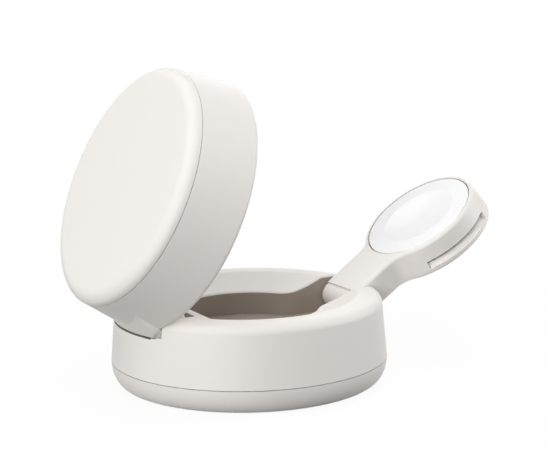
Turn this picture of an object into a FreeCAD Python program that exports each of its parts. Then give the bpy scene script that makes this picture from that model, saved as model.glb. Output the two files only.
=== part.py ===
import FreeCAD, Part
import math
import os

from FreeCAD import Vector

# Folding wireless charging stand: a round base, a magnetic phone disc that folds down over it,
# and a watch arm that folds into the pocket of the base.
# Millimetres and degrees. The origin is on the table, under the centre of the base.
# +Z is up, the phone disc hinges at -X and the watch arm at +X.

# Round base
base_seam_radius = 34.0
base_seam_height = 6.4
base_height = 21.55
base_wall_taper = 4.76
base_wall = 2.0
crest_rounding = 2.57
crest_band = 7.4
crest_inner_rounding = 2.0
bowl_depth = 3.2
bowl_sag = 0.4
pocket_wall = 1.6
keyhole_corner_relief = 1.0
rim_rounding = 0.7
block_rounding = 0.5
hinge_block_wall = 2.2
underside_inset = 3.6
underside_height = 0.3
bottom_floor = 1.6
cover_lip_width = 1.4
cover_lip_height = 1.5
lip_clearance = 0.15
seam_gap = 0.2

# Foot, weight and board in the base
foot_inset = 3.4
foot_thickness = 1.0
foot_edge = 0.3
foot_clearance = 0.2
ballast_inset = 2.8
ballast_thickness = 3.0
board_thickness = 1.0
board_gap = 0.3
board_side_gap = 1.05
post_radius = 2.6
post_shoulder = 1.0
post_inset = 4.0
post_angles = (55, 125, 235, 305)
post_clearance = 0.25
screw_radius = 0.9
screw_head_radius = 1.7
screw_head_height = 0.9
screw_length = 6.0
screw_clearance = 0.1

# Parts on the two circuit boards, which are placed on a grid about the middle of the board
board_grid = 2.0
chip_side = 7.0
chip_height = 1.0
driver_side = 5.0
driver_height = 0.9
choke_side = 6.0
choke_headroom = 1.21
phone_chip_side = 6.0
phone_chip_height = 0.9
phone_driver_side = 4.0
phone_driver_height = 0.8
phone_choke_side = 5.0
phone_choke_headroom = 2.4
capacitor_length = 3.2
capacitor_width = 1.6
capacitor_height = 1.2

# Power inlet
port_width = 8.94
port_height = 3.26
port_depth = 7.8
port_shell = 0.35
port_recess = 0.5
port_clearance = 0.2
port_tongue_width = 6.2
port_tongue_height = 0.7
port_tongue_length = 5.4

# Phone disc, described as it lies folded on the base
disc_seam_radius = 29.65
disc_depth = 14.38
disc_wall_taper = 8.655
disc_wall = 2.0
disc_back = 2.0
disc_back_rounding = 0.9
cap_depth = 2.52
cap_rounding = 3.2
cap_wall = 1.6
cap_spigot_width = 0.9
cap_spigot_depth = 1.6
fold_gap = 0.3
phone_open_angle = 65.15

# Phone hinge
phone_axis_inset = 6.83
phone_axis_drop = 1.7
disc_axis_inset = 2.48
barrel_radius = 4.6
barrel_half_length = 13.1
barrel_end_rounding = 2.5
lug_rise = 8.0
lug_fillet_share = 0.97
hinge_gap = 0.5
lug_inset = 0.05
notch_edge_rounding = 0.3
notch_corner = 0.4
notch_room = 0.8
notch_sill_drop = 3.35
notch_sill_half_width = 10.5
phone_pin_radius = 1.3
phone_pin_overhang = 1.3
trunnion_radius = 2.6
trunnion_length = 2.5
trunnion_clearance = 0.3
pin_clearance = 0.05
sleeve_wall = 1.2
sleeve_gap = 1.0

# Charging stack in the phone disc
coil_side_gap = 3.0
coil_inner_radius = 9.0
coil_thickness = 1.4
ferrite_thickness = 0.8
magnet_side_gap = 0.4
magnet_width = 3.0
magnet_thickness = 2.0
magnet_count = 12
magnet_gap_angle = 3.0
stack_clearance = 0.1
frame_thickness = 1.4
frame_groove_depth = 0.6
shield_thickness = 0.8
shield_inset = 1.45
disc_post_radius = 1.9
disc_post_angles = (45, 135, 225, 315)
disc_board_rise = 3.0
disc_screw_radius = 0.7
disc_screw_head_radius = 1.2
disc_screw_head_height = 0.8
disc_screw_length = 4.0

# Watch arm, described as it points level towards +X with its charging face up
watch_axis_inset = 5.64
watch_axis_drop = 4.7
watch_open_angle = 34.66
arm_top = 3.84
arm_bottom = 4.2
neck_half_width = 7.5
neck_lift = 1.0
neck_ramp_start = 10.5
neck_ramp_end = 16.0
neck_gap = 0.5
neck_fillet = 5.0
head_radius = 16.3
head_draft = 0.6
head_edge = 1.0
pocket_gap = 0.9
stow_gap = 0.5
stop_gap = 0.3
root_radius = 3.25
root_edge = 0.5
root_step = 0.5
root_length = 5.6
arm_cover_thickness = 1.25
arm_cover_edge = 0.5
grip_height = 2.2
grip_depth = 3.0
grip_groove_height = 0.9
grip_ledge_depth = 1.3
grip_lip_depth = 0.4
grip_half_angle = 38.0
watch_pin_radius = 1.2
watch_pin_overhang = 2.6
watch_sleeve_wall = 1.0
wire_way_half_width = 3.5
wire_way_height = 3.2

# Charging stack in the watch head
puck_rim = 1.17
puck_thickness = 2.4
puck_clearance = 0.18
puck_edge = 0.4
puck_rise = 0.02
dish_band = 4.63
dish_depth = 1.0
puck_seat = 1.93
watch_coil_gap = 0.2
watch_magnet_gap = 0.4
watch_coil_thickness = 1.0
watch_magnet_radius = 4.2
ferrite_cup_gap = 1.2
ferrite_cup_wall = 0.8
ferrite_cup_floor = 0.7
watch_board_gap = 0.4
watch_board_thickness = 0.8
cover_rib_radius = 9.0
cover_rib_width = 1.2

# Values worked out from the driving dimensions
middle = Vector(0, 0, 0)
up = Vector(0, 0, 1)
across = Vector(0, 1, 0)
far = 80.0
overcut = 1.0
overlap = 0.5
tiny = 1e-4
crest_inner_radius = base_seam_radius - crest_band
underside_radius = base_seam_radius - underside_inset
foot_radius = underside_radius - foot_inset
ballast_radius = underside_radius - ballast_inset
post_circle = ballast_radius - post_inset
lip_outside = base_seam_radius - base_wall - lip_clearance
lip_inside = lip_outside - cover_lip_width
main_board_radius = lip_inside - board_side_gap
phone_axis_reach = base_seam_radius - phone_axis_inset
phone_axis_height = base_height - phone_axis_drop
notch_sill_height = phone_axis_height - notch_sill_drop
watch_axis_reach = base_seam_radius - watch_axis_inset
watch_axis_height = base_height - watch_axis_drop
pocket_radius = head_radius + pocket_gap
pocket_floor = watch_axis_height - arm_top - stow_gap
pocket_underside = pocket_floor - pocket_wall
bowl_floor = base_height - bowl_depth
channel_half_width = neck_half_width + neck_gap
keyhole_rounding = neck_fillet + keyhole_corner_relief
notch_radius = barrel_radius + hinge_gap
notch_half_width = barrel_half_length + hinge_gap
notch_end = notch_radius + notch_room - phone_axis_reach
block_face = notch_end + hinge_block_wall
inner_floor = foot_thickness + bottom_floor
ballast_top = inner_floor + ballast_thickness
board_underside = ballast_top + board_gap
board_top = board_underside + board_thickness
choke_height = pocket_underside - board_top - choke_headroom
disc_back_height = base_height + fold_gap
disc_floor = disc_back_height + disc_back
disc_seam_height = disc_back_height + disc_depth
disc_front = disc_seam_height + cap_depth
cap_underside = disc_front - cap_wall
spigot_outside = disc_seam_radius - disc_wall - lip_clearance
spigot_inside = spigot_outside - cap_spigot_width
frame_radius = spigot_inside - lip_clearance
shield_radius = frame_radius - shield_inset
magnet_outer_radius = spigot_inside - magnet_side_gap
magnet_inner_radius = magnet_outer_radius - magnet_width
coil_outer_radius = magnet_inner_radius - coil_side_gap
disc_post_circle = (coil_outer_radius + magnet_inner_radius) / 2
coil_top = cap_underside - stack_clearance
coil_underside = coil_top - coil_thickness
ferrite_underside = coil_underside - ferrite_thickness
frame_underside = ferrite_underside - frame_thickness
shield_underside = frame_underside - shield_thickness
disc_board_underside = disc_floor + disc_board_rise
disc_board_top = disc_board_underside + board_thickness
phone_choke_height = shield_underside - disc_board_top - phone_choke_headroom
phone_axis = Vector(-phone_axis_reach, 0, phone_axis_height)
disc_axis_reach = disc_seam_radius - disc_axis_inset
disc_axis = Vector(-disc_axis_reach, 0, phone_axis_height)
watch_axis = Vector(watch_axis_reach, 0, watch_axis_height)
cover_top = arm_cover_thickness - arm_bottom
head_top_radius = head_radius - head_draft
puck_radius = head_top_radius - puck_rim
dish_radius = puck_radius - dish_band
head_inner_radius = puck_radius - puck_seat
ferrite_cup_radius = head_inner_radius - ferrite_cup_gap
watch_coil_outer_radius = ferrite_cup_radius - ferrite_cup_wall - watch_coil_gap
watch_coil_inner_radius = watch_magnet_radius + watch_magnet_gap
watch_board_radius = head_inner_radius - watch_board_gap
puck_top = arm_top + puck_rise
puck_underside = puck_top - puck_thickness


def point_on_circle(centre, radius, degrees):
    turn = math.radians(degrees)
    return (centre[0] + radius * math.cos(turn), centre[1] + radius * math.sin(turn))


def base_wall_radius(height):
    return base_seam_radius - (height - base_seam_height) * math.tan(math.radians(base_wall_taper))


def disc_wall_radius(height):
    return disc_seam_radius + (disc_seam_height - height) * math.tan(math.radians(disc_wall_taper))


# A flat face in the XZ plane. A step is a corner, or a pair (point on the way, end) for an arc.
def flat_face(start, *steps):
    edges = []
    here = Vector(start[0], 0, start[1])
    first = here
    for step in steps:
        if isinstance(step[0], tuple):
            via, end = [Vector(place[0], 0, place[1]) for place in step]
            edges.append(Part.Arc(here, via, end).toShape())
        else:
            end = Vector(step[0], 0, step[1])
            edges.append(Part.LineSegment(here, end).toShape())
        here = end
    if here.distanceToPoint(first) > tiny:
        edges.append(Part.LineSegment(here, first).toShape())
    return Part.Face(Part.Wire(edges))


# A quarter of an ellipse in the XZ plane, from its side level with the centre to its top or bottom.
def quarter_oval(side, end):
    centre = Vector(end[0], 0, side[1])
    ends = [Vector(side[0], 0, side[1]), Vector(end[0], 0, end[1])]
    ends.sort(key=centre.distanceToPoint, reverse=True)
    return Part.ArcOfEllipse(Part.Ellipse(ends[0], ends[1], centre), 0, math.pi / 2).toShape()


def turned(start, *steps):
    return flat_face(start, *steps).revolve(middle, up, 360)


def slab(face, half_width):
    face.translate(Vector(0, -half_width, 0))
    return face.extrude(Vector(0, 2 * half_width, 0))


def disc(radius, low, high, x=0.0, y=0.0):
    return Part.makeCylinder(radius, high - low, Vector(x, y, low))


def ring(outer, inner, low, high, x=0.0):
    return disc(outer, low, high, x).cut(disc(inner, low, high, x))


def box(low, high):
    return Part.makeBox(high[0] - low[0], high[1] - low[1], high[2] - low[2], Vector(*low))


def rod(axis, radius, start, end):
    return Part.makeCylinder(radius, end - start, Vector(axis.x, start, axis.z), across)


def fused(first, *others):
    return first.fuse(list(others)).removeSplitter()


# Places on a circle about the centre of the part.
def places(radius, angles):
    return [point_on_circle((0, 0), radius, angle) for angle in angles]


# Edges whose ends both lie on the sides of a slab, at the given half width.
def side_edges(shape, half_width):
    chosen = []
    for edge in shape.Edges:
        if all(abs(abs(corner.Y) - half_width) < tiny for corner in edge.Vertexes):
            if abs(edge.CenterOfMass.y) > half_width - tiny:
                chosen.append(edge)
    return chosen


# Edges that run straight up and down at the given distance from the XZ plane.
def upright_edges(shape, half_width):
    chosen = []
    for edge in shape.Edges:
        box_of_edge = edge.BoundBox
        if box_of_edge.ZLength > 10 * max(box_of_edge.XLength, box_of_edge.YLength):
            if abs(abs(edge.CenterOfMass.y) - half_width) < tiny:
                chosen.append(edge)
    return chosen


# Round base

def base_envelope():
    rounding_height = base_height - crest_rounding
    slant = crest_rounding / math.cos(math.radians(base_wall_taper))
    centre = (base_wall_radius(rounding_height) - slant, rounding_height)
    wall_end = point_on_circle(centre, crest_rounding, base_wall_taper)
    half_way = point_on_circle(centre, crest_rounding, (base_wall_taper + 90) / 2)
    crest_start = (centre[0], base_height)
    return turned((0, base_seam_height), (base_seam_radius, base_seam_height), wall_end,
                  (half_way, crest_start), (0, base_height))


# The shallow bowl inside the crest, straight where the block of the phone hinge bounds it.
def bowl():
    slope = math.atan2(bowl_depth, crest_inner_radius - pocket_radius)
    tangent = crest_inner_rounding * math.tan(slope / 2)
    edge_start = (crest_inner_radius + tangent, base_height)
    edge_end = (crest_inner_radius - tangent * math.cos(slope), base_height - tangent * math.sin(slope))
    centre = (edge_start[0], base_height - crest_inner_rounding)
    edge_middle = point_on_circle(centre, crest_inner_rounding, 90 + math.degrees(slope) / 2)
    half_way = ((edge_end[0] + pocket_radius) / 2, (edge_end[1] + bowl_floor) / 2 - bowl_sag)
    above = base_height + overcut
    whole = turned((0, above), (edge_start[0], above), edge_start, (edge_middle, edge_end),
                   (half_way, (pocket_radius, bowl_floor)), (0, bowl_floor))
    return whole.cut(box((-far, -far, 0), (block_face, far, far)))


# The round pocket for the watch head with the way out for the arm, which ends in the arm's open stop.
def keyhole():
    tilt = math.radians(watch_open_angle)
    drop = (arm_bottom - neck_lift + stop_gap) / math.cos(tilt)
    stop_start = watch_axis_reach + (drop - watch_axis_height + pocket_floor) / math.tan(tilt)
    stop_end = (far, pocket_floor + (far - stop_start) * math.tan(tilt))
    side = flat_face((0, pocket_floor), (stop_start, pocket_floor), stop_end, (0, stop_end[1]))
    whole = fused(disc(pocket_radius, pocket_floor, stop_end[1]), slab(side, channel_half_width))
    return whole.makeFillet(keyhole_rounding, upright_edges(whole, channel_half_width))


# Edges of the keyhole's rim, along the round pocket and on both sides of the arm's way out.
def rim_edges(shape):
    chosen = []
    for edge in shape.Edges:
        ends = [corner.Point for corner in edge.Vertexes]
        on_way = [abs(abs(end.y) - channel_half_width) < tiny and end.x > 0 for end in ends]
        on_pocket = [abs(math.hypot(end.x, end.y) - pocket_radius) < tiny for end in ends]
        above_floor = min(end.z for end in ends) > pocket_floor + tiny
        if above_floor and all(a or b for a, b in zip(on_way, on_pocket)):
            chosen.append(edge)
    return chosen


# The rounded upper edge of the hinge block, on the side of the bowl.
def block_edge():
    centre = (block_face - block_rounding, base_height - block_rounding)
    edge_middle = point_on_circle(centre, block_rounding, 45)
    side = flat_face((block_face, centre[1]), (edge_middle, (centre[0], base_height)),
                     (block_face, base_height))
    return slab(side, far / 2).common(disc(crest_inner_radius, 0, far))


# The upper part of the hinge's space, open upwards and to the outside.
def notch_opening():
    opening = box((-far, -notch_half_width, phone_axis_height), (notch_end, notch_half_width, far))
    corners = [edge for edge in upright_edges(opening, notch_half_width) if edge.CenterOfMass.x > -far / 2]
    return opening.makeFillet(notch_corner, corners)


# What the rounding of the opening's upper edge takes off the crest.
def notch_flare():
    block = box((-far, -far / 2, phone_axis_height), (block_face, far / 2, base_height))
    block = block.cut(notch_opening())
    edges = []
    for edge in block.Edges:
        place = edge.CenterOfMass
        on_opening = -far + tiny < place.x < block_face - tiny and abs(place.y) < notch_half_width + tiny
        if on_opening and edge.BoundBox.ZMin > base_height - tiny:
            edges.append(edge)
    return block.cut(block.makeFillet(notch_edge_rounding, edges))


# The space that the hinge barrel turns in: a round trough, open upwards and over a sill to the outside.
def hinge_notch():
    trough = rod(phone_axis, notch_radius, -notch_half_width, notch_half_width)
    ends = [edge for edge in trough.Edges if edge.Length > 6 * notch_radius]
    trough = trough.makeFillet(barrel_end_rounding + hinge_gap, ends)
    sill = box((-far, -notch_sill_half_width, notch_sill_height),
               (-phone_axis_reach, notch_sill_half_width, far))
    return fused(trough, notch_opening(), sill)


# The hollow underneath the shell, which leaves walls round the pocket, the arm's way out and the hinge.
def base_hollow():
    ceiling = base_height - base_wall
    low = base_seam_height - overcut
    pocket_outside = pocket_radius + pocket_wall
    whole = turned((0, low), (base_wall_radius(low) - base_wall, low),
                   (base_wall_radius(ceiling) - base_wall, ceiling - crest_rounding / 2),
                   (crest_inner_radius, ceiling), (pocket_outside, bowl_floor - base_wall),
                   (0, bowl_floor - base_wall))
    kept_pocket = disc(pocket_outside, pocket_underside, far)
    kept_way = box((0, -channel_half_width - pocket_wall, pocket_underside),
                   (far, channel_half_width + pocket_wall, far))
    trough_underside = phone_axis_height - notch_radius - pocket_wall
    kept_hinge = box((-far, -notch_half_width - base_wall, trough_underside),
                     (block_face, notch_half_width + base_wall, far))
    pin_end = channel_half_width + watch_pin_overhang + pocket_wall
    kept_pin = rod(watch_axis, watch_pin_radius + pocket_wall, -pin_end, pin_end)
    whole = whole.cut([kept_pocket, kept_way, kept_hinge, kept_pin])
    for x, y in places(post_circle, post_angles):
        whole = whole.cut(disc(post_radius + post_shoulder, board_top, far, x, y))
    return whole


# A rounded oblong lying across +X, for the inlet and the hole it sits in.
def oblong(width, height, start, end):
    level = board_top + port_height / 2
    half = (width - height) / 2
    bar = box((start, -half, level - height / 2), (end, half, level + height / 2))
    ends = [Part.makeCylinder(height / 2, end - start, Vector(start, side, level), Vector(1, 0, 0))
            for side in (-half, half)]
    return fused(bar, *ends)


def base_top_shell():
    shell = base_envelope().cut([bowl(), keyhole()])
    shell = shell.makeFillet(rim_rounding, rim_edges(shell))
    shell = shell.cut([block_edge(), hinge_notch(), notch_flare(), base_hollow()])
    inner_end = notch_half_width - trunnion_length
    trunnions = [rod(phone_axis, trunnion_radius, inner_end, notch_half_width + overlap),
                 rod(phone_axis, trunnion_radius, -notch_half_width - overlap, -inner_end)]
    posts = [disc(post_radius, inner_floor, board_top, x, y) for x, y in places(post_circle, post_angles)]
    shell = fused(shell, *trunnions, *posts)
    phone_pin_end = notch_half_width + phone_pin_overhang
    watch_pin_end = channel_half_width + watch_pin_overhang
    holes = [rod(phone_axis, phone_pin_radius, -phone_pin_end, phone_pin_end),
             rod(watch_axis, watch_pin_radius, -watch_pin_end, watch_pin_end),
             oblong(port_width + 2 * port_clearance, port_height + 2 * port_clearance, pocket_radius, far)]
    holes += [disc(screw_radius, 0, foot_thickness + screw_head_height + screw_length + screw_clearance, x, y)
              for x, y in places(post_circle, post_angles)]
    return shell.cut(holes)


# A rounded cup: the lower edge is a quarter of an ellipse between the underside and the seam.
def base_bottom_cover():
    rim = base_seam_height - seam_gap
    lip_top = base_seam_height + cover_lip_height
    corners = [(base_seam_radius, rim), (lip_outside, rim), (lip_outside, lip_top), (lip_inside, lip_top),
               (lip_inside, rim - base_wall), (ballast_radius + foot_clearance, inner_floor),
               (0, inner_floor),
               (0, underside_height), (underside_radius, underside_height)]
    edges = [Part.LineSegment(Vector(a[0], 0, a[1]), Vector(b[0], 0, b[1])).toShape()
             for a, b in zip(corners, corners[1:])]
    edges.append(quarter_oval((base_seam_radius, rim), (underside_radius, underside_height)))
    cup = Part.Face(Part.Wire(Part.__sortEdges__(edges))).revolve(middle, up, 360)
    cuts = [disc(foot_radius + foot_clearance, 0, foot_thickness)]
    for x, y in places(post_circle, post_angles):
        cuts.append(disc(screw_radius + screw_clearance, 0, far, x, y))
        cuts.append(disc(screw_head_radius + screw_clearance, 0, foot_thickness + screw_head_height, x, y))
    cuts.append(oblong(port_width + 4 * port_clearance, port_height + 4 * port_clearance, pocket_radius, far))
    return cup.cut(cuts)


def foot_pad():
    return turned((0, 0), (foot_radius - foot_edge, 0), (foot_radius, foot_edge),
                  (foot_radius, foot_thickness), (0, foot_thickness))


def ballast_plate():
    plate = disc(ballast_radius, inner_floor, ballast_top)
    return plate.cut([disc(post_radius + post_clearance, 0, far, x, y)
                      for x, y in places(post_circle, post_angles)])


def main_circuit_board():
    board = disc(main_board_radius, board_underside, board_top)
    return board.cut([disc(post_radius + post_clearance, 0, far, x, y)
                      for x, y in places(post_circle, post_angles)])


# Blocks of one size on a board, at places counted in steps of the grid.
def board_parts(length, width, height, level, steps):
    solids = []
    for column, row in steps:
        x = column * board_grid - length / 2
        y = row * board_grid - width / 2
        solids.append(box((x, y, level), (x + length, y + width, level + height)))
    return solids


def main_board_parts():
    solids = board_parts(chip_side, chip_side, chip_height, board_top, [(3, 0)])
    solids += board_parts(driver_side, driver_side, driver_height, board_top, [(-3, 3)])
    solids += board_parts(choke_side, choke_side, choke_height, board_top, [(-3.5, -3.5), (2, -6)])
    solids += board_parts(capacitor_length, capacitor_width, capacitor_height, board_top,
                          [(6, 4.5), (8, 4.5), (7, -4)])
    return Part.makeCompound(solids)


# The inlet's metal shell with its back wall and contact tongue.
def charging_port():
    level = board_top + port_height / 2
    mouth = base_wall_radius(level) - port_recess
    back = mouth - port_depth
    shell = oblong(port_width, port_height, back, mouth)
    inside = oblong(port_width - 2 * port_shell, port_height - 2 * port_shell, back + port_shell, mouth)
    half = port_tongue_width / 2
    tongue = box((back, -half, level - port_tongue_height / 2),
                 (back + port_shell + port_tongue_length, half, level + port_tongue_height / 2))
    return fused(shell.cut(inside), tongue)


# Pan-head screws that stand head down, at the given places.
def screws(spots, head_radius, head_height, shank_radius, length, low):
    solids = []
    for x, y in spots:
        head = disc(head_radius, low, low + head_height, x, y)
        shank = disc(shank_radius, low + head_height, low + head_height + length, x, y)
        solids.append(fused(head, shank))
    return Part.makeCompound(solids)


def base_screws():
    return screws(places(post_circle, post_angles), screw_head_radius, screw_head_height,
                  screw_radius, screw_length, foot_thickness)


def phone_hinge_shaft():
    end = notch_half_width + phone_pin_overhang
    return rod(phone_axis, phone_pin_radius, -end, end)


def watch_hinge_shaft():
    end = channel_half_width + watch_pin_overhang
    return rod(watch_axis, watch_pin_radius, -end, end)


# Phone disc, made folded and then opened

def opened(shape):
    shape.translate(phone_axis - disc_axis)
    shape.rotate(phone_axis, across, -phone_open_angle)
    return shape


def closed(shape):
    copy = shape.copy()
    copy.rotate(phone_axis, across, phone_open_angle)
    copy.translate(disc_axis - phone_axis)
    return copy


# The hinge lug: a barrel round the pin whose outer side runs on into the wall of the disc.
def hinge_lug():
    top = disc_back_height + lug_rise
    wall_there = math.sqrt(disc_wall_radius(top) ** 2 - barrel_half_length ** 2)
    tip = (-wall_there, top)
    away = math.hypot(tip[0] - disc_axis.x, tip[1] - disc_axis.z)
    towards = math.degrees(math.atan2(tip[1] - disc_axis.z, tip[0] - disc_axis.x))
    touch_angle = towards + math.degrees(math.acos(barrel_radius / away))
    centre = (disc_axis.x, disc_axis.z)
    touch = point_on_circle(centre, barrel_radius, touch_angle)
    bottom = point_on_circle(centre, barrel_radius, touch_angle + (360 - touch_angle) / 2)
    inner_side = centre[0] + barrel_radius
    side = flat_face(tip, touch, (bottom, (inner_side, centre[1])), (inner_side, top))
    lug = slab(side, barrel_half_length)
    ends = side_edges(lug, barrel_half_length)
    round_ends = [edge for edge in ends if edge.Curve.TypeId == "Part::GeomCircle"]
    room = (inner_side - tip[0]) / (1 + away / math.sqrt(away ** 2 - barrel_radius ** 2))
    lug = lug.makeFillet(min(barrel_end_rounding, lug_fillet_share * room), round_ends)
    skirt, flare = lug_skirt(Vector(tip[0], barrel_half_length, tip[1]))
    below_tip = box((-far, -far, -far), (far, far, top))
    return fused(lug, closed(skirt).common(below_tip)).common(closed(flare))


# The lug's outer side as it stands open: over the sill it is flush with the wall of the base,
# and it flares from there up to the wall of the disc.
def lug_skirt(tip):
    low = notch_sill_height + hinge_gap
    wall = base_wall_radius(low) - lug_inset
    meeting = opened(Part.Vertex(tip)).Point
    slope = (math.hypot(meeting.x, meeting.y) - wall) / (meeting.z - low)
    bottom = phone_axis_height - 2 * barrel_radius
    flare = turned((0, bottom), (wall - slope * (low - bottom), bottom),
                   (wall + slope * (far - low), far), (0, far))
    skirt = box((-far, -barrel_half_length, low), (-phone_axis_reach, barrel_half_length, far))
    lower_edges = [edge for edge in skirt.Edges
                   if edge.BoundBox.XLength > far / 4 and edge.BoundBox.ZMax < low + tiny]
    return skirt.makeFillet(barrel_end_rounding, lower_edges).common(flare), flare


def phone_disc_housing():
    rim = disc_seam_height - seam_gap
    low = disc_back_height
    back_radius = disc_wall_radius(low)
    lean = disc_wall_taper
    reach = disc_back_rounding * math.tan(math.radians((90 + lean) / 2))
    centre = (back_radius - reach, low + disc_back_rounding)
    wall_start = point_on_circle(centre, disc_back_rounding, lean)
    half_way = point_on_circle(centre, disc_back_rounding, (lean - 90) / 2)
    outside = turned((0, low), (centre[0], low), (half_way, wall_start), (disc_wall_radius(rim), rim),
                     (0, rim))
    lug = hinge_lug()
    inside = turned((0, disc_floor), (disc_wall_radius(disc_floor) - disc_wall, disc_floor),
                    (disc_wall_radius(rim) - disc_wall, rim),
                    (disc_wall_radius(rim) - disc_wall, rim + overcut),
                    (0, rim + overcut))
    inside = inside.cut(rod(disc_axis, barrel_radius, -barrel_half_length, barrel_half_length))
    posts = []
    for x, y in places(disc_post_circle, disc_post_angles):
        posts.append(disc(disc_post_radius, disc_floor - overlap, frame_underside, x, y))
        posts.append(disc(disc_post_radius + post_shoulder, disc_floor - overlap, disc_board_underside, x, y))
    housing = fused(outside.fuse(lug).cut(inside), *posts)
    bore = phone_pin_radius + sleeve_wall + pin_clearance
    seat_end = notch_half_width - trunnion_length - trunnion_clearance
    cuts = [rod(disc_axis, bore, -seat_end, seat_end),
            rod(disc_axis, trunnion_radius + trunnion_clearance, seat_end, far / 2),
            rod(disc_axis, trunnion_radius + trunnion_clearance, -far / 2, -seat_end)]
    cuts += [disc(disc_screw_radius, frame_underside - disc_screw_length, far, x, y)
             for x, y in places(disc_post_circle, disc_post_angles)]
    return opened(housing.cut(cuts))


# The cap with the charging face: its edge is a quarter of an ellipse down to the seam.
def phone_charging_pad():
    spigot_end = disc_seam_height - cap_spigot_depth
    face_radius = disc_seam_radius - cap_rounding
    corners = [(face_radius, disc_front), (0, disc_front), (0, cap_underside), (spigot_inside, cap_underside),
               (spigot_inside, spigot_end), (spigot_outside, spigot_end), (spigot_outside, disc_seam_height),
               (disc_seam_radius, disc_seam_height)]
    edges = [Part.LineSegment(Vector(a[0], 0, a[1]), Vector(b[0], 0, b[1])).toShape()
             for a, b in zip(corners, corners[1:])]
    edges.append(quarter_oval((disc_seam_radius, disc_seam_height), (face_radius, disc_front)))
    return opened(Part.Face(Part.Wire(Part.__sortEdges__(edges))).revolve(middle, up, 360))


# Magnets in a broken circle, each a block bent to the ring.
def phone_magnet_ring():
    low = ferrite_underside - frame_groove_depth
    step = 360 / magnet_count
    section = flat_face((magnet_inner_radius, low), (magnet_outer_radius, low),
                        (magnet_outer_radius, low + magnet_thickness),
                        (magnet_inner_radius, low + magnet_thickness))
    magnet = section.revolve(middle, up, step - magnet_gap_angle)
    solids = []
    for number in range(magnet_count):
        copy = magnet.copy()
        copy.rotate(middle, up, number * step)
        solids.append(copy)
    return opened(Part.makeCompound(solids))


def phone_coil():
    return opened(ring(coil_outer_radius, coil_inner_radius, coil_underside, coil_top))


def phone_ferrite_sheet():
    return opened(disc(coil_outer_radius, ferrite_underside, coil_underside))


def phone_coil_frame():
    plate = disc(frame_radius, frame_underside, ferrite_underside)
    groove = ring(magnet_outer_radius + lip_clearance, magnet_inner_radius - lip_clearance,
                  ferrite_underside - frame_groove_depth, far)
    holes = [disc(disc_screw_radius + screw_clearance, 0, far, x, y)
             for x, y in places(disc_post_circle, disc_post_angles)]
    return opened(plate.cut([groove] + holes))


def phone_shield_plate():
    plate = disc(shield_radius, shield_underside, frame_underside)
    return opened(plate.cut([disc(disc_post_radius + post_clearance, 0, far, x, y)
                             for x, y in places(disc_post_circle, disc_post_angles)]))


def phone_circuit_board():
    wide = disc_post_circle + disc_post_radius + post_shoulder
    board = disc(wide, disc_board_underside, disc_board_top)
    return opened(board.cut([disc(disc_post_radius + post_clearance, 0, far, x, y)
                             for x, y in places(disc_post_circle, disc_post_angles)]))


def phone_board_parts():
    level = disc_board_top
    solids = board_parts(phone_chip_side, phone_chip_side, phone_chip_height, level, [(0, 0)])
    solids += board_parts(phone_driver_side, phone_driver_side, phone_driver_height, level, [(4, 3)])
    solids += board_parts(phone_choke_side, phone_choke_side, phone_choke_height, level,
                          [(-4, 3.5), (3.5, -4)])
    solids += board_parts(capacitor_length, capacitor_width, capacitor_height, level,
                          [(-3.5, -3.5), (0, -5.5), (0.5, 5.5)])
    return opened(Part.makeCompound(solids))


def phone_frame_screws():
    solids = []
    for x, y in places(disc_post_circle, disc_post_angles):
        head = disc(disc_screw_head_radius, ferrite_underside,
                    ferrite_underside + disc_screw_head_height, x, y)
        shank = disc(disc_screw_radius, frame_underside - disc_screw_length + stack_clearance,
                     ferrite_underside, x, y)
        solids.append(fused(head, shank))
    return opened(Part.makeCompound(solids))


# Two friction sleeves that turn with the disc on the pin.
def phone_hinge_sleeves():
    outer = phone_pin_radius + sleeve_wall + pin_clearance
    end = notch_half_width - trunnion_length - trunnion_clearance
    start = sleeve_gap / 2
    bore = rod(disc_axis, phone_pin_radius + pin_clearance, -far, far)
    solids = [rod(disc_axis, outer, low, high).cut(bore)
              for low, high in ((start, end), (-end, -start))]
    return opened(Part.makeCompound(solids))


# Watch arm, made level with its hinge at the origin and then raised onto its open stop

def raised(shape):
    shape.rotate(middle, across, -watch_open_angle)
    shape.translate(watch_axis)
    return shape


# The arm's plan, a round head on a straight neck with hollow corners, between two levels.
def arm_plan(start, low, high, low_radius, high_radius):
    head = turned((0, low), (low_radius, low), (high_radius, high), (0, high))
    head.translate(Vector(watch_axis_reach, 0, 0))
    neck = box((start, -neck_half_width, low), (watch_axis_reach, neck_half_width, high))
    whole = fused(head, neck)
    corners = []
    for edge in whole.Edges:
        place = edge.CenterOfMass
        along = edge.BoundBox
        if along.ZLength > high - low - tiny and start + overcut < place.x < watch_axis_reach - overcut:
            corners.append(edge)
    return whole.makeFillet(neck_fillet, corners)


# Outline edges of a plan at one level, without the square end of the neck.
def outline_edges(shape, level, start):
    chosen = []
    for edge in shape.Edges:
        along = edge.BoundBox
        if max(abs(along.ZMin - level), abs(along.ZMax - level)) < tiny and along.XMax > start + overlap:
            chosen.append(edge)
    return chosen


# The round root on the hinge pin and the web below it. The flat top of the arm begins a step further out.
def arm_root():
    barrel = rod(middle, root_radius, -neck_half_width, neck_half_width)
    ends = [edge for edge in barrel.Edges if edge.Length > 6 * root_radius]
    barrel = barrel.makeFillet(root_edge, ends)
    web_top = cover_top + neck_lift + overlap
    web = flat_face((root_length, web_top), (0, web_top), (0, -root_radius),
                    (root_length, neck_lift - arm_bottom))
    return barrel, slab(web, neck_half_width)


# What lies under a level of the head, and under the same level raised along the thinner neck.
def below_level(level, start):
    raised_level = level + neck_lift
    side = flat_face((start, raised_level), (neck_ramp_start, raised_level), (neck_ramp_end, level),
                     (far, level), (far, -far), (start, -far))
    return slab(side, far)


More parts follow.
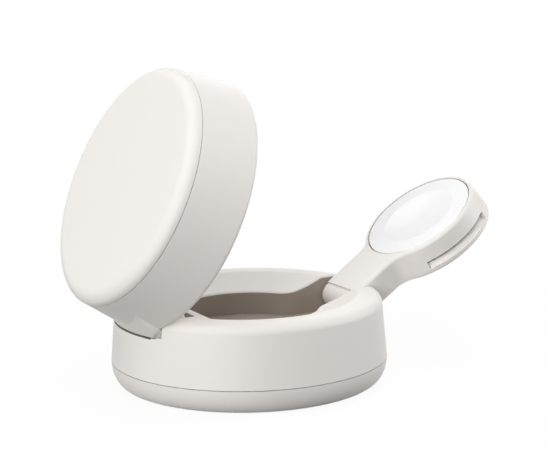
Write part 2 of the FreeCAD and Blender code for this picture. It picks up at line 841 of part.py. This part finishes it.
# The housing's outside beyond the root: drafted, rounded along its top and ending on the bottom cover.
def arm_upper():
    upper = arm_plan(root_step, cover_top, arm_top, head_radius, head_top_radius)
    upper = upper.makeFillet(head_edge, outline_edges(upper, arm_top, root_step))
    return upper.cut(below_level(cover_top, root_length))


# One finger grip on each side of the head: a groove that follows the rim, over a sloping ledge.
def finger_grips():
    grip_top = cover_top + grip_height
    ledge_top = grip_top - grip_groove_height
    core = turned((0, cover_top), (head_radius - grip_lip_depth, cover_top),
                  (head_radius - grip_ledge_depth, ledge_top), (head_radius - grip_depth, ledge_top),
                  (head_radius - grip_depth, grip_top), (0, grip_top))
    core.translate(Vector(watch_axis_reach, 0, 0))
    band = disc(2 * head_radius, cover_top, grip_top, watch_axis_reach).cut(core)
    half = 2 * head_radius * math.tan(math.radians(grip_half_angle))
    sides = []
    for side in (-1, 1):
        corners = [Vector(watch_axis_reach, 0, cover_top),
                   Vector(watch_axis_reach - half, side * 2 * head_radius, cover_top),
                   Vector(watch_axis_reach + half, side * 2 * head_radius, cover_top)]
        wedge = Part.Face(Part.makePolygon(corners + corners[:1])).extrude(Vector(0, 0, grip_height))
        sides.append(band.common(wedge))
    return sides


def watch_arm_housing():
    body = fused(arm_upper(), *arm_root())
    bore = watch_pin_radius + watch_sleeve_wall + pin_clearance
    cuts = [disc(puck_radius + puck_clearance, puck_underside, far, watch_axis_reach),
            disc(head_inner_radius, cover_top, far, watch_axis_reach),
            box((root_length, -wire_way_half_width, cover_top),
                (watch_axis_reach, wire_way_half_width, cover_top + wire_way_height)),
            rod(middle, bore, -far, far)]
    return raised(body.cut(cuts + finger_grips()))


# The cover under the arm, raised along the neck, with a rib that holds the board.
def watch_arm_bottom_cover():
    plate = arm_plan(root_length, -arm_bottom, cover_top + neck_lift, head_radius, head_radius)
    plate = plate.makeFillet(arm_cover_edge, outline_edges(plate, -arm_bottom, root_length))
    plate = plate.cut(below_level(-arm_bottom, root_length)).common(below_level(cover_top, root_length))
    board_low = puck_underside - watch_stack_height()
    rib = ring(cover_rib_radius, cover_rib_radius - cover_rib_width, cover_top - overlap, board_low,
               watch_axis_reach)
    return raised(fused(plate, rib))


def watch_stack_height():
    return stack_clearance + watch_coil_thickness + ferrite_cup_floor + watch_board_thickness


# White charging face with a round dish for the back of the watch.
def watch_charging_puck():
    rounding_centre = (puck_radius - puck_edge, puck_top - puck_edge)
    edge_middle = point_on_circle(rounding_centre, puck_edge, 45)
    ball = (dish_radius ** 2 + dish_depth ** 2) / (2 * dish_depth)
    half = dish_radius / 2
    dish_middle = (half, puck_top - dish_depth + ball - math.sqrt(ball ** 2 - half ** 2))
    puck = turned((0, puck_underside), (puck_radius, puck_underside), (puck_radius, puck_top - puck_edge),
                  (edge_middle, (puck_radius - puck_edge, puck_top)), (dish_radius, puck_top),
                  (dish_middle, (0, puck_top - dish_depth)))
    puck.translate(Vector(watch_axis_reach, 0, 0))
    return raised(puck)


def watch_coil():
    high = puck_underside - stack_clearance
    return raised(ring(watch_coil_outer_radius, watch_coil_inner_radius, high - watch_coil_thickness, high,
                       watch_axis_reach))


def watch_magnet():
    high = puck_underside - stack_clearance
    return raised(disc(watch_magnet_radius, high - watch_coil_thickness, high, watch_axis_reach))


def watch_ferrite_cup():
    high = puck_underside - stack_clearance
    low = high - watch_coil_thickness - ferrite_cup_floor
    cup = disc(ferrite_cup_radius, low, high, watch_axis_reach)
    hollow = disc(ferrite_cup_radius - ferrite_cup_wall, low + ferrite_cup_floor, far, watch_axis_reach)
    return raised(cup.cut(hollow))


def watch_circuit_board():
    low = puck_underside - watch_stack_height()
    return raised(disc(watch_board_radius, low, low + watch_board_thickness, watch_axis_reach))


def watch_hinge_sleeve():
    outer = rod(middle, watch_pin_radius + watch_sleeve_wall + pin_clearance,
                -neck_half_width, neck_half_width)
    return raised(outer.cut(rod(middle, watch_pin_radius + pin_clearance, -far, far)))


pieces = [base_top_shell, base_bottom_cover, foot_pad, ballast_plate, main_circuit_board, main_board_parts,
          charging_port, base_screws, phone_hinge_shaft, watch_hinge_shaft,
          phone_disc_housing, phone_charging_pad, phone_magnet_ring, phone_coil, phone_ferrite_sheet,
          phone_coil_frame, phone_shield_plate, phone_circuit_board, phone_board_parts, phone_frame_screws,
          phone_hinge_sleeves,
          watch_arm_housing, watch_arm_bottom_cover, watch_charging_puck, watch_coil, watch_magnet,
          watch_ferrite_cup, watch_circuit_board, watch_hinge_sleeve]

os.makedirs("parts", exist_ok=True)
for make in pieces:
    solid = make()
    solid.exportStep("parts/" + make.__name__ + ".step")
    print(make.__name__, "solids", len(solid.Solids), "volume", round(solid.Volume, 1),
          "valid", solid.isValid())
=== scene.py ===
import math
import bmesh
import bpy
from mathutils import Matrix, Vector


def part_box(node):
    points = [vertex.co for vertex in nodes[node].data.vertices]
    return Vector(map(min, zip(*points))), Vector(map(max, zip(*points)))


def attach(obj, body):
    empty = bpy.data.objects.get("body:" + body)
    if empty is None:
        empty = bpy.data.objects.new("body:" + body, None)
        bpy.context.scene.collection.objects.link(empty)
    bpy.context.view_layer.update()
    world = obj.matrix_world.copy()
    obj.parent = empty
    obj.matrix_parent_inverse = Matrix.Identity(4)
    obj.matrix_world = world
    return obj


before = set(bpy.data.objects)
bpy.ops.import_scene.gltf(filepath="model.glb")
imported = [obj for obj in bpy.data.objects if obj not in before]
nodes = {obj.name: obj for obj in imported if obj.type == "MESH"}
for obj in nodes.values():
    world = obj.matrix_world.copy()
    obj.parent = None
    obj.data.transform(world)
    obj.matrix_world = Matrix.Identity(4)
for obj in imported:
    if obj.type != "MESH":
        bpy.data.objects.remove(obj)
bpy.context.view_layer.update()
mm = 0.001
print("frame loaded with", len(nodes), "nodes")


# a socket in an expression: the operators add Math nodes
class Value:
    def __init__(self, finish, socket):
        self.finish = finish
        self.socket = socket

    def maths(self, operation, first, second=0.0):
        return self.finish.node("Math", {"operation": operation}, {0: first, 1: second})

    def __add__(self, other):
        return self.maths("ADD", self, other)

    def __radd__(self, other):
        return self.maths("ADD", other, self)

    def __sub__(self, other):
        return self.maths("SUBTRACT", self, other)

    def __rsub__(self, other):
        return self.maths("SUBTRACT", other, self)

    def __mul__(self, other):
        return self.maths("MULTIPLY", self, other)

    def __rmul__(self, other):
        return self.maths("MULTIPLY", other, self)

    def above(self, limit):
        return self.maths("GREATER_THAN", self, limit)

    def below(self, limit):
        return self.maths("LESS_THAN", self, limit)

    def either(self, other):
        return self.maths("MAXIMUM", self, other)

    def upTo(self, limit):
        return self.maths("MINIMUM", self, limit)

    def size(self):
        return self.maths("ABSOLUTE", self)

    def root(self):
        return self.maths("SQRT", self)

    def wave(self):
        return self.maths("SINE", self)


# the node tree of one procedural material, or of the world
class Finish:
    def __init__(self, owner):
        self.owner = owner
        owner.use_nodes = True
        self.tree = owner.node_tree
        self.tree.nodes.clear()

    def node(self, kind, settings=None, inputs=None, output=0):
        made = self.tree.nodes.new("ShaderNode" + kind)
        for key, value in (settings or {}).items():
            setattr(made, key, value)
        for key, value in (inputs or {}).items():
            if isinstance(value, Value):
                self.tree.links.new(value.socket, made.inputs[key])
            else:
                made.inputs[key].default_value = value
        return Value(self, made.outputs[output] if made.outputs else None)

    def place(self, turn=(0.0, 0.0, 0.0), shift=(0.0, 0.0, 0.0), stretch=(1.0, 1.0, 1.0)):
        spot = self.node("TexCoord", output="Object")
        return self.node("Mapping", {"vector_type": "TEXTURE"}, {0: spot, 1: shift, 2: turn, 3: stretch})

    def axes(self, spot, names="XYZ"):
        return [self.node("SeparateXYZ", None, {0: spot}, name) for name in names]

    def radius(self, spot):
        x, y = self.axes(spot, "XY")
        return (x * x + y * y).root()

    def noise(self, spot, scale, detail=3.0):
        return self.node("TexNoise", None, {"Vector": spot, "Scale": scale, "Detail": detail})

    def blend(self, factor, first, second):
        return self.node("Mix", {"data_type": "RGBA"}, {0: factor, 6: first, 7: second}, 2)

    def bump(self, height, strength, depth):
        return self.node("Bump", None, {"Height": height, "Strength": strength, "Distance": depth})

    def surface(self, **inputs):
        named = {key.replace("_", " "): value for key, value in inputs.items()}
        self.node("OutputMaterial", None, {"Surface": self.node("BsdfPrincipled", None, named)})
        return self.owner


def newFinish(name):
    return Finish(bpy.data.materials.new(name))


def srgb(red, green, blue):
    parts = []
    for level in (red, green, blue):
        level /= 255
        parts.append(level / 12.92 if level <= 0.04045 else ((level + 0.055) / 1.055) ** 2.4)
    return (parts[0], parts[1], parts[2], 1.0)


def addObject(name, bm, material):
    mesh = bpy.data.meshes.new(name)
    bm.to_mesh(mesh)
    bm.free()
    mesh.materials.append(material)
    made = bpy.data.objects.new(name, mesh)
    bpy.context.scene.collection.objects.link(made)
    return made


# where the disc and the arm head stand: their patterns are centred there
def turnedFrame(axis, degrees, centre):
    turn = Matrix.Rotation(math.radians(degrees), 3, "Y")
    hinge = Vector(axis) * mm
    spot = hinge + turn @ (Vector(centre) * mm - hinge)
    return {"turn": (0.0, math.radians(degrees), 0.0), "shift": tuple(spot)}


levelFrame = {"turn": (0.0, 0.0, 0.0), "shift": (0.0, 0.0, 0.0)}
discFrame = turnedFrame((-27.17, 0.0, 19.85), -65.15, (0.0, 0.0, 36.23))
headFrame = turnedFrame((28.36, 0.0, 16.85), -34.66, (56.72, 0.0, 16.85))

# the darker-toned hollows of the base: round pocket, way out for the arm, the corners between them, hinge
# trough; in the hinge trough the darker tone is painted shade
hollows = {"pocket": 17.2 * mm, "halfWay": 8.0 * mm, "corner": 6.0 * mm, "troughEnd": -21.27 * mm,
           "troughHalf": 13.6 * mm, "outside": 33.1 * mm, "edge": 0.05 * mm}


def insideHollows(finish, look):
    spot = finish.place()
    x, y = finish.axes(spot, "XY")
    side = y.size()
    away = finish.radius(spot)
    cornerY = look["halfWay"] + look["corner"]
    cornerX = math.sqrt((look["pocket"] + look["corner"]) ** 2 - cornerY ** 2)
    toCorner = ((x - cornerX) * (x - cornerX) + (side - cornerY) * (side - cornerY)).root()
    inPocket = away.below(look["pocket"] + look["edge"])
    onWay = x.above(0.0) * side.below(look["halfWay"] + look["edge"])
    inWedge = x.above(0.0) * x.below(cornerX) * (side - cornerY / cornerX * x).below(0.0)
    inCorner = inWedge * toCorner.above(look["corner"] - look["edge"])
    # painted shade: the hinge trough takes the darker tone where its walls lie in shadow
    inTrough = x.below(look["troughEnd"] + look["edge"]) * side.below(look["troughHalf"] + look["edge"])
    return inPocket.either(onWay).either(inCorner).either(inTrough) * away.below(look["outside"])


# moulded plastic: cloudy tint, fine spark-eroded grain, slightly uneven gloss
mould = {"cloudScale": 60.0, "cloudGloss": 0.08, "sparkScale": 2600.0, "sparkDetail": 2.0, "sparkGloss": 0.10,
         "sparkDepth": 0.05 * mm}


def mouldedPlastic(name, look, darkHollowsAndShade=False):
    finish = newFinish(name)
    spot = finish.place()
    cloud = finish.noise(spot, mould["cloudScale"])
    sparks = finish.noise(spot, mould["sparkScale"], mould["sparkDetail"])
    colour = finish.blend(cloud, look["deep"], look["pale"])
    if darkHollowsAndShade:
        # a darker tone in the hollows; in the hinge trough it is painted shade
        darkToneAndShade = finish.blend(cloud, look["darkToneAndShadeDeep"], look["darkToneAndShade"])
        colour = finish.blend(insideHollows(finish, hollows), colour, darkToneAndShade)
    # painted shade: a grey band on the puck's side stands in for the shadow in the gap round the puck
    if "seam" in look:  # a grey line round the puck
        away = finish.radius(finish.place(headFrame["turn"], headFrame["shift"]))
        colour = finish.blend(away.above(look["seamRadius"]), colour, look["seam"])
    uneven = mould["cloudGloss"] * (cloud - 0.5) + mould["sparkGloss"] * (sparks - 0.5)
    return finish.surface(
        Base_Color=colour,
        Roughness=look["roughness"] + uneven,
        Specular_IOR_Level=look["gloss"],
        Normal=finish.bump(sparks, look["grain"], mould["sparkDepth"]))


shellLook = {"pale": srgb(239, 235, 231), "deep": srgb(236, 232, 228), "darkToneAndShade": srgb(168, 158, 148),
             "darkToneAndShadeDeep": srgb(164, 154, 144), "roughness": 0.52, "gloss": 0.35, "grain": 0.10}
padLook = {"pale": srgb(240, 237, 233), "deep": srgb(238, 235, 230),
           "roughness": 0.58, "gloss": 0.3, "grain": 0.08}
# the grey band round the puck's side is painted shade of the gap
puckLook = {"pale": srgb(247, 247, 248), "deep": srgb(245, 245, 246), "seam": srgb(176, 175, 173),
            "seamRadius": 14.43 * mm, "roughness": 0.24, "gloss": 0.5, "grain": 0.02}
frameLook = {"pale": srgb(52, 52, 54), "deep": srgb(44, 44, 46),
             "roughness": 0.5, "gloss": 0.4, "grain": 0.15}
chipLook = {"pale": srgb(40, 40, 42), "deep": srgb(30, 30, 32),
            "roughness": 0.45, "gloss": 0.5, "grain": 0.20}


# non-slip rubber: dusty tone and a fine pebble texture
def footRubber(name, look):
    finish = newFinish(name)
    spot = finish.place()
    dust = finish.noise(spot, look["dustScale"])
    pebbles = finish.node("TexVoronoi", {"feature": "SMOOTH_F1"}, {"Vector": spot, "Scale": look["pebbles"]})
    return finish.surface(
        Base_Color=finish.blend(dust, look["deep"], look["pale"]),
        Roughness=look["roughness"] + look["dustGloss"] * (dust - 0.5),
        Specular_IOR_Level=look["gloss"],
        Normal=finish.bump(pebbles, look["grain"], look["pebbleDepth"]))


rubberLook = {"pale": srgb(202, 199, 194), "deep": srgb(190, 187, 182), "dustScale": 140.0, "dustGloss": 0.12,
              "pebbles": 1400.0, "pebbleDepth": 0.10 * mm, "roughness": 0.78, "gloss": 0.3, "grain": 0.35}

# brushed, turned or plated metal: the streaks run along the axis with the largest stretch
metal = {"streakDetail": 4.0, "streakGloss": 0.20, "streakDepth": 0.03 * mm, "cloudScale": 90.0,
         "cloudGloss": 0.10}


def streakedMetal(name, look, spotFrame=levelFrame):
    finish = newFinish(name)
    spot = finish.place(spotFrame["turn"], spotFrame["shift"], look["stretch"])
    streaks = finish.noise(spot, look["streaks"], metal["streakDetail"])
    cloud = finish.noise(finish.place(), metal["cloudScale"])
    uneven = metal["streakGloss"] * (streaks - 0.5) + metal["cloudGloss"] * (cloud - 0.5)
    return finish.surface(
        Base_Color=finish.blend(streaks, look["deep"], look["pale"]),
        Metallic=1.0,
        Roughness=look["roughness"] + uneven,
        Normal=finish.bump(streaks, look["grain"], metal["streakDepth"]))


steelLook = {"pale": srgb(208, 208, 210), "deep": srgb(186, 186, 190), "roughness": 0.28, "grain": 0.15,
             "streaks": 900.0, "stretch": (1.0, 12.0, 1.0)}
ballastLook = {"pale": srgb(98, 98, 101), "deep": srgb(74, 74, 78), "roughness": 0.55, "grain": 0.30,
               "streaks": 500.0, "stretch": (1.0, 1.0, 1.0)}
shieldLook = {"pale": srgb(225, 226, 229), "deep": srgb(206, 207, 211), "roughness": 0.32, "grain": 0.15,
              "streaks": 1100.0, "stretch": (1.0, 14.0, 1.0)}
magnetLook = {"pale": srgb(222, 221, 218), "deep": srgb(204, 203, 200), "roughness": 0.22, "grain": 0.06,
              "streaks": 300.0, "stretch": (1.0, 1.0, 1.0)}
sleeveLook = {"pale": srgb(216, 190, 132), "deep": srgb(186, 158, 104), "roughness": 0.35, "grain": 0.20,
              "streaks": 1200.0, "stretch": (8.0, 1.0, 8.0)}


# power inlet: a steel sleeve, with a black resin tongue and back inside
def inletSteel(name, look):
    low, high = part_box("charging_port")
    middle = (low + high) / 2
    finish = newFinish(name)
    streaks = finish.noise(finish.place(stretch=look["stretch"]), look["streaks"], metal["streakDetail"])
    x, y, z = finish.axes(finish.place())
    across = (y - middle.y).size().below(look["tongueWidth"] / 2 + look["edge"])
    tongue = across * (z - middle.z).size().below(look["tongueHeight"] / 2 + look["edge"])
    resin = tongue.either((x - low.x).below(look["wall"] + look["edge"]))
    steel = finish.blend(streaks, look["deep"], look["pale"])
    return finish.surface(
        Base_Color=finish.blend(resin, steel, look["resin"]),
        Metallic=1.0 - resin,
        Roughness=look["roughness"] + metal["streakGloss"] * (streaks - 0.5) + look["resinMatt"] * resin,
        Normal=finish.bump(streaks, look["grain"], metal["streakDepth"]))


inletLook = {"pale": srgb(200, 201, 204), "deep": srgb(176, 177, 181), "roughness": 0.30, "grain": 0.10,
             "streaks": 1500.0, "stretch": (9.0, 1.0, 1.0), "resin": srgb(36, 36, 38), "resinMatt": 0.2,
             "tongueWidth": 6.2 * mm, "tongueHeight": 0.7 * mm, "wall": 0.35 * mm, "edge": 0.02 * mm}


# wound copper wire: rings about the coil's own axis, with painted shade between the turns
def woundCopper(name, look, wire, spotFrame):
    finish = newFinish(name)
    spot = finish.place(spotFrame["turn"], spotFrame["shift"])
    turns = (finish.radius(spot) * (2 * math.pi / wire)).wave()
    lacquer = finish.noise(spot, look["lacquerScale"])
    shade = 0.5 + look["turnShade"] * turns + look["lacquerShade"] * (lacquer - 0.5)
    return finish.surface(
        Base_Color=finish.blend(shade, look["deep"], look["pale"]),
        Metallic=1.0,
        Roughness=look["roughness"] + look["lacquerGloss"] * lacquer,
        Normal=finish.bump(turns, look["grain"], wire / 3))


wireLook = {"pale": srgb(224, 150, 104), "deep": srgb(128, 66, 40), "turnShade": 0.35, "lacquerScale": 220.0,
            "lacquerShade": 0.3, "lacquerGloss": 0.15, "roughness": 0.30, "grain": 0.6}
phoneWire = 0.8 * mm
watchWire = 0.45 * mm


# circuit board: solder mask over copper tracks, with tinned lands
def circuitBoard(name, look, spotFrame):
    finish = newFinish(name)
    spot = finish.place(spotFrame["turn"], spotFrame["shift"])
    layout = {"Vector": spot, "Scale": look["tracks"], "Mortar Size": look["trackWidth"],
              "Brick Width": look["trackLength"], "Row Height": look["trackPitch"]}
    tones = {"Color1": look["mask"], "Color2": look["maskDeep"], "Mortar": look["track"]}
    tracks = finish.node("TexBrick", {"offset": 0.5}, {**layout, **tones})
    height = finish.node("TexBrick", {"offset": 0.5}, layout, "Fac")
    dots = finish.node("TexVoronoi", None, {
        "Vector": spot, "Scale": look["lands"], "Randomness": look["landScatter"]})
    lands = dots.below(look["landSize"])
    return finish.surface(
        Base_Color=finish.blend(lands, tracks, look["tin"]),
        Metallic=lands,
        Roughness=look["roughness"] - look["tinGloss"] * lands,
        Normal=finish.bump(height.either(lands), look["grain"], look["depth"]))


boardLook = {"mask": srgb(30, 98, 62), "maskDeep": srgb(26, 90, 56), "track": srgb(46, 126, 82),
             "tin": srgb(205, 203, 196), "tracks": 260.0, "trackWidth": 0.03, "trackLength": 0.9,
             "trackPitch": 0.3, "lands": 420.0, "landScatter": 0.35, "landSize": 0.16,
             "roughness": 0.42, "tinGloss": 0.12, "grain": 0.3, "depth": 0.05 * mm}


# sintered ferrite: dark grains
def sinteredFerrite(name, look):
    finish = newFinish(name)
    grains = finish.node("TexVoronoi", None, {"Vector": finish.place(), "Scale": look["grains"]})
    return finish.surface(
        Base_Color=finish.blend(grains, look["deep"], look["pale"]),
        Roughness=look["roughness"] + look["grainGloss"] * grains,
        Normal=finish.bump(grains, look["grain"], look["depth"]))


ferriteLook = {"pale": srgb(92, 92, 96), "deep": srgb(58, 58, 62), "grains": 1500.0, "roughness": 0.50,
               "grainGloss": 0.20, "grain": 0.3, "depth": 0.04 * mm}

shellFinish = mouldedPlastic("warmWhitePlastic", shellLook)
steelFinish = streakedMetal("brightSteel", steelLook)
chipFinish = mouldedPlastic("packageResin", chipLook)
nodeFinishes = {
    # the top shell's hollows get a darker tone, which is painted shade in the hinge trough
    "base_top_shell": mouldedPlastic("whitePlasticToneAndPaintedShade", shellLook, True),
    "base_bottom_cover": shellFinish,
    "foot_pad": footRubber("footRubber", rubberLook),
    "ballast_plate": streakedMetal("blackenedPlate", ballastLook),
    "main_circuit_board": circuitBoard("mainBoard", boardLook, levelFrame),
    "main_board_parts": chipFinish,
    "charging_port": inletSteel("inletSteel", inletLook),
    "base_screws": steelFinish,
    "phone_hinge_shaft": steelFinish,
    "watch_hinge_shaft": steelFinish,
    "phone_disc_housing": shellFinish,
    "phone_charging_pad": mouldedPlastic("softWhitePad", padLook),
    "phone_magnet_ring": streakedMetal("platedMagnets", magnetLook, discFrame),
    "phone_coil": woundCopper("coilWire", wireLook, phoneWire, discFrame),
    "phone_ferrite_sheet": sinteredFerrite("ferriteSheet", ferriteLook),
    "phone_coil_frame": mouldedPlastic("blackFrame", frameLook),
    "phone_shield_plate": streakedMetal("shieldSheet", shieldLook, discFrame),
    "phone_circuit_board": circuitBoard("discBoard", boardLook, discFrame),
    "phone_board_parts": chipFinish,
    "phone_frame_screws": steelFinish,
    "phone_hinge_sleeves": streakedMetal("turnedSleeve", sleeveLook),
    "watch_arm_housing": shellFinish,
    "watch_arm_bottom_cover": shellFinish,
    "watch_charging_puck": mouldedPlastic("glossWhitePuck", puckLook),
    "watch_coil": woundCopper("fineCoilWire", wireLook, watchWire, headFrame),
    "watch_magnet": streakedMetal("platedMagnet", magnetLook, headFrame),
    "watch_ferrite_cup": sinteredFerrite("ferriteCup", ferriteLook),
    "watch_circuit_board": circuitBoard("headBoard", boardLook, headFrame),
    "watch_hinge_sleeve": streakedMetal("shortSleeve", sleeveLook),
}
for name, obj in nodes.items():
    obj.data.materials[0] = nodeFinishes[name]
print("finishes set on", len(nodeFinishes), "nodes")

contactLook = {"count": 12, "pitch": 0.5 * mm, "width": 0.26 * mm, "length": 4.2 * mm, "lift": 0.05 * mm,
               "edge": 0.03 * mm, "tongueEnd": 5.75 * mm, "endGap": 0.25 * mm,
               "tongueHeight": inletLook["tongueHeight"], "pale": srgb(228, 196, 122),
               "deep": srgb(202, 166, 92), "roughness": 0.28, "grain": 0.08,
               "streaks": 900.0, "stretch": (6.0, 1.0, 1.0)}


# gilt contact strips on both faces of the inlet's tongue, half sunk in it
def addInletContacts(look):
    low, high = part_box("charging_port")
    middle = (low + high) / 2
    along = low.x + look["tongueEnd"] - look["endGap"] - look["length"] / 2
    size = Matrix.Diagonal((look["length"], look["width"], 2 * look["lift"], 1.0))
    bm = bmesh.new()
    for number in range(look["count"]):
        across = middle.y + (number - (look["count"] - 1) / 2) * look["pitch"]
        for side in (-0.5, 0.5):
            spot = Vector((along, across, middle.z + side * look["tongueHeight"]))
            bmesh.ops.create_cube(bm, size=1.0, matrix=Matrix.Translation(spot) @ size)
    bmesh.ops.bevel(bm, geom=bm.edges[:], offset=look["edge"], affect="EDGES", segments=2, profile=0.5,
                    material=-1)
    bmesh.ops.recalc_face_normals(bm, faces=bm.faces)
    contacts = addObject("inlet_contacts", bm, streakedMetal("giltContacts", look))
    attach(contacts, "base")


addInletContacts(contactLook)
print("inlet contacts added")

white = (1.0, 1.0, 1.0, 1.0)


# rays from the camera, a mirror or glass see the white backdrop
def seenRays(finish):
    seen = finish.node("LightPath", output="Is Camera Ray")
    for kind in ("Is Glossy Ray", "Is Transmission Ray"):
        seen = seen.either(finish.node("LightPath", output=kind))
    return seen


# pale floor: it keeps the shadow, and turns white away from the stand
def floorFinish(look):
    finish = newFinish("paleFloor")
    seen = seenRays(finish)
    matt = finish.node("BsdfDiffuse", None, {"Color": finish.blend(seen, look["tone"], white)})
    glow = finish.node("Emission", None, {"Color": white, "Strength": 1.0})
    share = (look["whiteShare"] + look["whitening"] * finish.radius(finish.place())).upTo(1.0)
    both = finish.node("MixShader", None, {0: seen * share, 1: matt, 2: glow})
    finish.node("OutputMaterial", None, {"Surface": both})
    return finish.owner


floorLook = {"size": 6.0, "drop": 0.05 * mm, "tone": (0.16, 0.158, 0.155, 1.0),
             "whiteShare": 0.93, "whitening": 0.25}


def setFloor(look):
    bm = bmesh.new()
    bmesh.ops.create_grid(bm, x_segments=1, y_segments=1, size=look["size"] / 2)
    bmesh.ops.translate(bm, verts=bm.verts, vec=(0.0, 0.0, -look["drop"]))  # just under the rubber foot
    floor = addObject("floor", bm, floorFinish(look))


worldLook = {"tone": white, "strength": 0.12}


def setWorld(look):
    world = bpy.data.worlds.new("studio")
    bpy.context.scene.world = world
    finish = Finish(world)
    around = finish.node("Background", None, {"Color": look["tone"], "Strength": look["strength"]})
    behind = finish.node("Background", None, {"Color": white, "Strength": 1.0})
    both = finish.node("MixShader", None, {0: seenRays(finish), 1: around, 2: behind})
    finish.node("OutputWorld", None, {"Surface": both})


lamps = {
    "topLamp": {"spot": (0.05, 0.05, 1.0), "size": 0.8, "power": 3.1},
    "topBackLamp": {"spot": (-0.10, 0.60, 0.78), "size": 0.4, "power": 0.9},
    "frontLamp": {"spot": (-0.30, -0.57, 0.80), "size": 0.5, "power": 2.4},
    "frontLeftLamp": {"spot": (-0.82, -0.53, 0.24), "size": 0.5, "power": 6.0},
    "leftLamp": {"spot": (-0.87, 0.45, 0.24), "size": 0.5, "power": 1.4},
    "rightLamp": {"spot": (0.95, -0.21, 0.24), "size": 0.5, "power": 5.3},
    "backLamp": {"spot": (0.66, 0.70, 0.40), "size": 0.5, "power": 1.4},
}
lampAim = Vector((0.0, 0.0, 0.03))


def setLamps(looks):
    for name, look in looks.items():
        lamp = bpy.data.lights.new(name, "AREA")
        lamp.size = look["size"]
        lamp.energy = look["power"]
        holder = bpy.data.objects.new(name, lamp)
        spot = Vector(look["spot"])
        turn = (lampAim - spot).to_track_quat("-Z", "Y")
        holder.matrix_world = Matrix.Translation(spot) @ turn.to_matrix().to_4x4()
        bpy.context.scene.collection.objects.link(holder)


view = {"spot": (-0.215771, -0.415059, 0.128694), "azimuth": -28.251, "elevation": 10.884, "roll": -0.967,
        "lens": 128.56, "sensor": 36.0, "nearest": 0.01}


def setCamera(look):
    camera = bpy.data.cameras.new("camera")
    camera.lens = look["lens"]
    camera.sensor_width = look["sensor"]
    camera.sensor_fit = "HORIZONTAL"
    camera.clip_start = look["nearest"]
    holder = bpy.data.objects.new("camera", camera)
    bpy.context.scene.collection.objects.link(holder)
    turn, lift, roll = (math.radians(look[key]) for key in ("azimuth", "elevation", "roll"))
    back = Vector((math.sin(turn) * math.cos(lift), -math.cos(turn) * math.cos(lift), math.sin(lift)))
    across = Vector((math.cos(turn), math.sin(turn), 0.0))
    upright = back.cross(across)
    right = across * math.cos(roll) + upright * math.sin(roll)
    up = upright * math.cos(roll) - across * math.sin(roll)
    holder.matrix_world = Matrix.Translation(look["spot"]) @ Matrix((right, up, back)).transposed().to_4x4()
    bpy.context.scene.camera = holder


setFloor(floorLook)
setWorld(worldLook)
setLamps(lamps)
setCamera(view)
bpy.context.scene.view_settings.view_transform = "Standard"
print("stage set")
